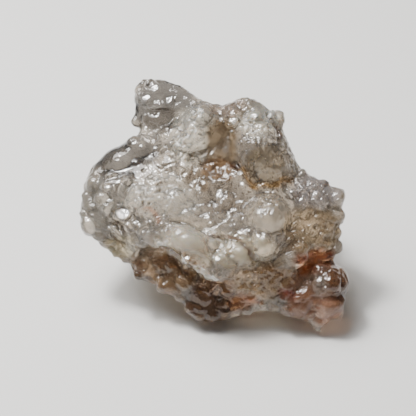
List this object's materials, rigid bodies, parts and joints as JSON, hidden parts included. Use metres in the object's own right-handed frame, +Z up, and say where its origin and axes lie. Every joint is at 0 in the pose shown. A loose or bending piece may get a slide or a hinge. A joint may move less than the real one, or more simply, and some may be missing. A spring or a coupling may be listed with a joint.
{
  "type": "hyalite opal specimen",
  "caption": "Loose mass of glassy, lumpy hyalite opal with a clear horn, a cream shelf and a rusty lower lobe, resting on its underside",
  "frame": {"origin": "middle of the footprint of the whole specimen, on the surface it rests on", "axes": "+X across the growth face to the viewer's right, -Y toward the viewer, +Z up"},
  "size_m": [0.0338, 0.0236, 0.0235],
  "materials": {
    "opal": "glossy, milky, see-through"
  },
  "bodies": {
    "root": {"hyalite_mass": "opal"}
  },
  "joints": []
}
